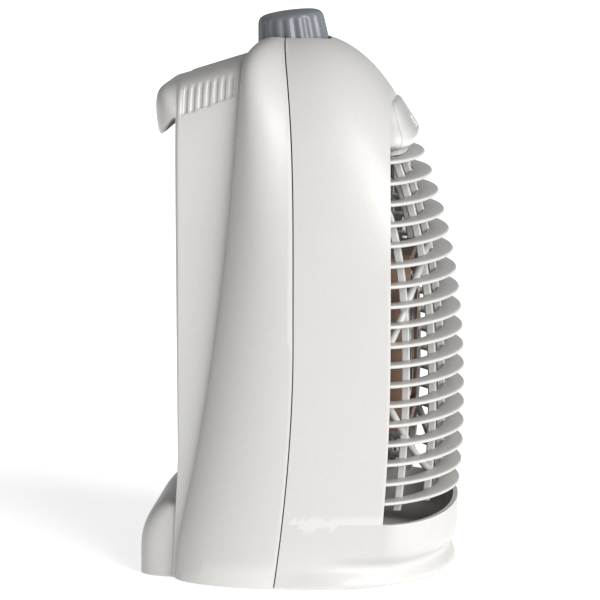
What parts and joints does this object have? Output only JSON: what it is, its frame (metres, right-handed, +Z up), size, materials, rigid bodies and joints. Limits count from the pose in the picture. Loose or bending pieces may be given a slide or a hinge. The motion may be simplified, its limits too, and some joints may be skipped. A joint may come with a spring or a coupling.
{
  "type": "ceramic space heater",
  "caption": "Upright fan heater with a bowed slatted outlet, fluted control knob, carry grip and tip-over switch.",
  "frame": {"origin": "on the floor, under the centre of the heater's bounding box", "axes": "+Z up, -Y towards the slatted air outlet, +X to the right as seen from the front"},
  "size_m": [0.176, 0.1786, 0.3131],
  "materials": {
    "shell_plastic": "satin moulded plastic",
    "dark_plastic": "matt",
    "rubber": "matt",
    "bright_metal": "zinc plated",
    "gloss_white": "gloss",
    "lens": "smoked, translucent",
    "lamp_glass": "clear",
    "knob_plastic": "gloss",
    "brass": "bare",
    "resin": "phenolic resin",
    "aluminium": "bare",
    "ceramic": "sintered ceramic stone",
    "duct_plastic": "satin",
    "core_steel": "stacked sheet",
    "coil_copper": "varnished winding",
    "wire_red": "silicone"
  },
  "bodies": {
    "housing": {"front_shell": "shell_plastic", "rear_shell": "shell_plastic", "rear_grille": "shell_plastic", "grip_recess": "shell_plastic", "carry_handle": "shell_plastic", "rear_foot": "shell_plastic", "base_plate": "dark_plastic", "rubber_feet": "rubber", "front_grille": "shell_plastic", "guard_ring": "bright_metal", "nose_bezel": "gloss_white", "pilot_lens": "lens", "pilot_lamp": "lamp_glass", "knob_well": "dark_plastic", "switch_body": "resin", "switch_nut": "bright_metal", "switch_bracket": "bright_metal", "element_frame": "resin", "element_fins": "aluminium", "element_ceramic": "ceramic", "element_terminals": "bright_metal", "air_duct": "duct_plastic", "fan_shroud": "duct_plastic", "motor_stator": "core_steel", "motor_coil": "coil_copper", "motor_bracket": "bright_metal", "motor_screws": "bright_metal", "thermal_cutout": "bright_metal", "tip_switch": "dark_plastic", "tip_spring": "bright_metal", "terminal_block": "duct_plastic", "wiring": "wire_red", "cord_gland": "dark_plastic", "case_screws": "bright_metal", "base_screws": "bright_metal"},
    "knob": {"control_knob": "knob_plastic", "switch_shaft": "brass"},
    "rotor": {"fan_impeller": "duct_plastic", "fan_nut": "brass", "motor_shaft": "bright_metal", "motor_rotor": "core_steel"},
    "plunger": {"tip_plunger": "duct_plastic"}
  },
  "joints": [
    {"name": "knob_turn", "type": "hinge", "parent": "housing", "child": "knob", "pos_m": [0, 0.0072, 0.2935], "axis": [0, 0.1219, 0.9925], "range_deg": [0, 270]},
    {"name": "fan_spin", "type": "hinge", "parent": "housing", "child": "rotor", "pos_m": [0, -0.0063, 0.13], "axis": [0, 1, 0], "continuous": true},
    {"name": "tip_slide", "type": "slide", "parent": "housing", "child": "plunger", "axis": [0, 0, -1], "range_m": [0, 0.005], "stiffness_N_per_m": 60, "springref_m": 0.007, "deforming": ["tip_spring"]}
  ]
}
